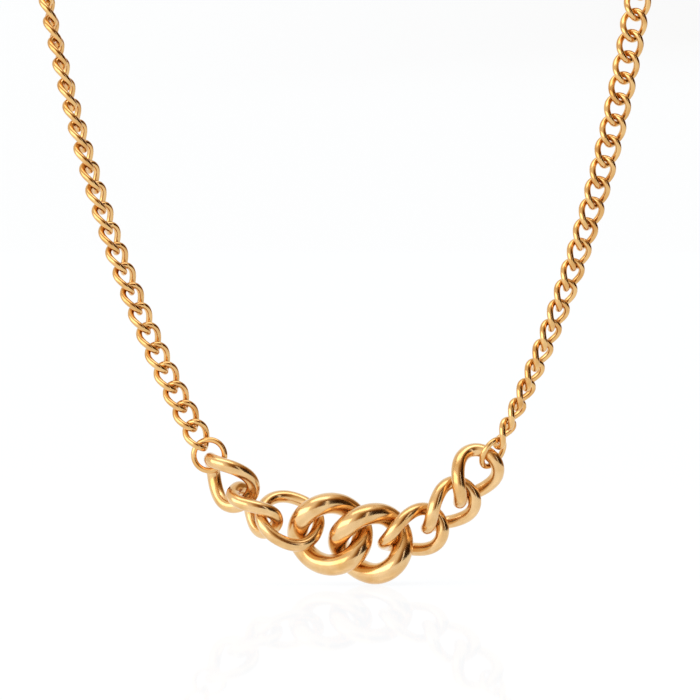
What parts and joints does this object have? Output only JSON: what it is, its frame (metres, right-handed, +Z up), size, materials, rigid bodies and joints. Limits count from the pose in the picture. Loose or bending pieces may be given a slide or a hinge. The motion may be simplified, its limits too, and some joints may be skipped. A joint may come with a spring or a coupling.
{
  "type": "chain necklace",
  "caption": "Graduated curb-link chain necklace with interlocked large centre links, jump rings and a lobster clasp.",
  "frame": {"origin": "middle of the back of the neck, in the plane of the clasp", "axes": "+Z up, +X to the right of someone who looks at the front, the front of the necklace faces -Y"},
  "size_m": [0.1274, 0.083, 0.1422],
  "materials": {
    "gold_plate": "polished gold plate on brass",
    "spring_steel": "drawn spring wire"
  },
  "bodies": {
    "neck_chain": {"back_run_left": "gold_plate", "back_run_right": "gold_plate", "anchor_link_left": "gold_plate", "anchor_link_right": "gold_plate", "clasp_ring": "gold_plate", "clasp_body": "gold_plate", "clasp_pin": "gold_plate", "clasp_spring": "spring_steel", "end_ring": "gold_plate"},
    "clasp_lever": {"clasp_lever": "gold_plate"},
    "row_01": {"curb_link_left_01": "gold_plate", "curb_link_right_01": "gold_plate"},
    "row_02": {"curb_link_left_02": "gold_plate", "curb_link_right_02": "gold_plate"},
    "row_03": {"curb_link_left_03": "gold_plate", "curb_link_right_03": "gold_plate"},
    "row_04": {"curb_link_left_04": "gold_plate", "curb_link_right_04": "gold_plate"},
    "row_05": {"curb_link_left_05": "gold_plate", "curb_link_right_05": "gold_plate"},
    "row_06": {"curb_link_left_06": "gold_plate", "curb_link_right_06": "gold_plate"},
    "row_07": {"curb_link_left_07": "gold_plate", "curb_link_right_07": "gold_plate"},
    "row_08": {"curb_link_left_08": "gold_plate", "curb_link_right_08": "gold_plate"},
    "row_09": {"curb_link_left_09": "gold_plate", "curb_link_right_09": "gold_plate"},
    "row_10": {"curb_link_left_10": "gold_plate", "curb_link_right_10": "gold_plate"},
    "row_11": {"curb_link_left_11": "gold_plate", "curb_link_right_11": "gold_plate"},
    "row_12": {"curb_link_left_12": "gold_plate", "curb_link_right_12": "gold_plate"},
    "row_13": {"curb_link_left_13": "gold_plate", "curb_link_right_13": "gold_plate"},
    "row_14": {"curb_link_left_14": "gold_plate", "curb_link_right_14": "gold_plate"},
    "row_15": {"curb_link_left_15": "gold_plate", "curb_link_right_15": "gold_plate"},
    "row_16": {"curb_link_left_16": "gold_plate", "curb_link_right_16": "gold_plate"},
    "row_17": {"curb_link_left_17": "gold_plate", "curb_link_right_17": "gold_plate"},
    "row_18": {"curb_link_left_18": "gold_plate", "curb_link_right_18": "gold_plate"},
    "row_19": {"curb_link_left_19": "gold_plate", "curb_link_right_19": "gold_plate"},
    "row_20": {"curb_link_left_20": "gold_plate", "curb_link_right_20": "gold_plate"},
    "jump_ring_left": {"jump_ring_left": "gold_plate"},
    "puffed_link_left_3": {"puffed_link_left_3": "gold_plate"},
    "puffed_link_left_2": {"puffed_link_left_2": "gold_plate"},
    "puffed_link_left_1": {"puffed_link_left_1": "gold_plate"},
    "centre_link_left": {"centre_link_left": "gold_plate"},
    "jump_ring_right": {"jump_ring_right": "gold_plate"},
    "puffed_link_right_3": {"puffed_link_right_3": "gold_plate"},
    "puffed_link_right_2": {"puffed_link_right_2": "gold_plate"},
    "puffed_link_right_1": {"puffed_link_right_1": "gold_plate"},
    "centre_link_right": {"centre_link_right": "gold_plate"}
  },
  "joints": [
    {"name": "row_01_swing", "type": "hinge", "parent": "neck_chain", "child": "row_01", "pos_m": [-0.05728, -0.072, -0.03046], "axis": [0.9999, 0, 0.0114], "range_deg": [-20, 16]},
    {"name": "row_02_swing", "type": "hinge", "parent": "row_01", "child": "row_02", "pos_m": [-0.05627, -0.072, -0.03464], "axis": [-0.9999, 0, -0.0112], "range_deg": [-16, 20]},
    {"name": "row_03_swing", "type": "hinge", "parent": "row_02", "child": "row_03", "pos_m": [-0.05524, -0.072, -0.03882], "axis": [0.9999, 0, 0.0109], "range_deg": [-20, 16]},
    {"name": "row_04_swing", "type": "hinge", "parent": "row_03", "child": "row_04", "pos_m": [-0.05416, -0.072, -0.04298], "axis": [-0.9999, 0, -0.0107], "range_deg": [-16, 20]},
    {"name": "row_05_swing", "type": "hinge", "parent": "row_04", "child": "row_05", "pos_m": [-0.05304, -0.072, -0.04713], "axis": [0.9999, 0, 0.0104], "range_deg": [-20, 16]},
    {"name": "row_06_swing", "type": "hinge", "parent": "row_05", "child": "row_06", "pos_m": [-0.05188, -0.072, -0.05127], "axis": [-0.9999, 0, -0.0102], "range_deg": [-16, 20]},
    {"name": "row_07_swing", "type": "hinge", "parent": "row_06", "child": "row_07", "pos_m": [-0.05068, -0.072, -0.0554], "axis": [1, 0, 0.01], "range_deg": [-20, 16]},
    {"name": "row_08_swing", "type": "hinge", "parent": "row_07", "child": "row_08", "pos_m": [-0.04942, -0.072, -0.05951], "axis": [-1, 0, -0.0097], "range_deg": [-16, 20]},
    {"name": "row_09_swing", "type": "hinge", "parent": "row_08", "child": "row_09", "pos_m": [-0.04812, -0.072, -0.06361], "axis": [1, 0, 0.0095], "range_deg": [-20, 16]},
    {"name": "row_10_swing", "type": "hinge", "parent": "row_09", "child": "row_10", "pos_m": [-0.04677, -0.072, -0.06769], "axis": [-1, 0, -0.0093], "range_deg": [-16, 20]},
    {"name": "row_11_swing", "type": "hinge", "parent": "row_10", "child": "row_11", "pos_m": [-0.04536, -0.072, -0.07176], "axis": [1, 0, 0.0091], "range_deg": [-20, 16]},
    {"name": "row_12_swing", "type": "hinge", "parent": "row_11", "child": "row_12", "pos_m": [-0.0439, -0.072, -0.0758], "axis": [-1, 0, -0.0089], "range_deg": [-16, 20]},
    {"name": "row_13_swing", "type": "hinge", "parent": "row_12", "child": "row_13", "pos_m": [-0.04237, -0.072, -0.07982], "axis": [1, 0, 0.0087], "range_deg": [-20, 16]},
    {"name": "row_14_swing", "type": "hinge", "parent": "row_13", "child": "row_14", "pos_m": [-0.04079, -0.072, -0.08382], "axis": [-1, 0, -0.0085], "range_deg": [-16, 20]},
    {"name": "row_15_swing", "type": "hinge", "parent": "row_14", "child": "row_15", "pos_m": [-0.03915, -0.072, -0.08779], "axis": [1, 0, 0.0083], "range_deg": [-20, 16]},
    {"name": "row_16_swing", "type": "hinge", "parent": "row_15", "child": "row_16", "pos_m": [-0.03744, -0.072, -0.09174], "axis": [-1, 0, -0.0081], "range_deg": [-16, 20]},
    {"name": "row_17_swing", "type": "hinge", "parent": "row_16", "child": "row_17", "pos_m": [-0.03567, -0.072, -0.09566], "axis": [1, 0, 0.0079], "range_deg": [-20, 16]},
    {"name": "row_18_swing", "type": "hinge", "parent": "row_17", "child": "row_18", "pos_m": [-0.03383, -0.072, -0.09955], "axis": [-1, 0, -0.0077], "range_deg": [-16, 20]},
    {"name": "row_19_swing", "type": "hinge", "parent": "row_18", "child": "row_19", "pos_m": [-0.03193, -0.072, -0.1034], "axis": [1, 0, 0.0074], "range_deg": [-20, 16]},
    {"name": "row_20_swing", "type": "hinge", "parent": "row_19", "child": "row_20", "pos_m": [-0.02995, -0.072, -0.10722], "axis": [-1, 0, -0.0071], "range_deg": [-16, 20]},
    {"name": "jump_ring_swing", "type": "hinge", "parent": "row_20", "child": "jump_ring_left", "pos_m": [-0.02785, -0.07201, -0.11097], "axis": [1, 0.0023, 0.006], "range_deg": [-20, 6]},
    {"name": "jump_ring_swing_right", "type": "hinge", "parent": "row_20", "child": "jump_ring_right", "pos_m": [0.03153, -0.07187, -0.11061], "axis": [1, 0.0023, 0.006], "range_deg": [-20, 6]},
    {"name": "puffed_3_swing", "type": "hinge", "parent": "jump_ring_left", "child": "puffed_link_left_3", "pos_m": [-0.02543, -0.07198, -0.11511], "axis": [-0.9999, -0.0036, -0.0162], "range_deg": [-12, 12]},
    {"name": "puffed_3_swing_right", "type": "hinge", "parent": "jump_ring_right", "child": "puffed_link_right_3", "pos_m": [0.02859, -0.07178, -0.11424], "axis": [-0.9999, -0.0036, -0.0162], "range_deg": [-12, 12]},
    {"name": "puffed_2_swing", "type": "hinge", "parent": "puffed_link_left_3", "child": "puffed_link_left_2", "pos_m": [-0.02035, -0.07212, -0.12108], "axis": [1, 0.0083, 0.0005], "range_deg": [-12, 12]},
    {"name": "puffed_2_swing_right", "type": "hinge", "parent": "puffed_link_right_3", "child": "puffed_link_right_2", "pos_m": [0.02449, -0.07175, -0.12105], "axis": [1, 0.0083, 0.0005], "range_deg": [-12, 12]},
    {"name": "puffed_1_swing", "type": "hinge", "parent": "puffed_link_left_2", "child": "puffed_link_left_1", "pos_m": [-0.01486, -0.07222, -0.12564], "axis": [-0.9989, -0.0192, 0.0425], "range_deg": [-14, 10]},
    {"name": "puffed_1_swing_right", "type": "hinge", "parent": "puffed_link_right_2", "child": "puffed_link_right_1", "pos_m": [0.01844, -0.07159, -0.12706], "axis": [-0.9989, -0.0192, 0.0425], "range_deg": [-14, 10]},
    {"name": "centre_swing", "type": "hinge", "parent": "puffed_link_left_1", "child": "centre_link_left", "pos_m": [-0.00649, -0.07209, -0.128], "axis": [0.9835, 0.017, -0.1803], "range_deg": [-8, 5]},
    {"name": "centre_swing_right", "type": "hinge", "parent": "puffed_link_right_1", "child": "centre_link_right", "pos_m": [0.00983, -0.07181, -0.131], "axis": [0.9835, 0.017, -0.1803], "range_deg": [-8, 5]},
    {"name": "clasp_lever_turn", "type": "hinge", "parent": "neck_chain", "child": "clasp_lever", "pos_m": [-0.00108, 0.0012, 0.00094], "axis": [0, -1, 0], "range_deg": [0, 30], "stiffness_Nm_per_rad": 0.0004, "springref_deg": -17.19}
  ],
  "couplings": [
    {"joint": "jump_ring_swing_right", "follows": "jump_ring_swing", "ratio": 1},
    {"joint": "puffed_3_swing_right", "follows": "puffed_3_swing", "ratio": 1},
    {"joint": "puffed_2_swing_right", "follows": "puffed_2_swing", "ratio": 1},
    {"joint": "puffed_1_swing_right", "follows": "puffed_1_swing", "ratio": 1},
    {"joint": "centre_swing_right", "follows": "centre_swing", "ratio": 1}
  ]
}
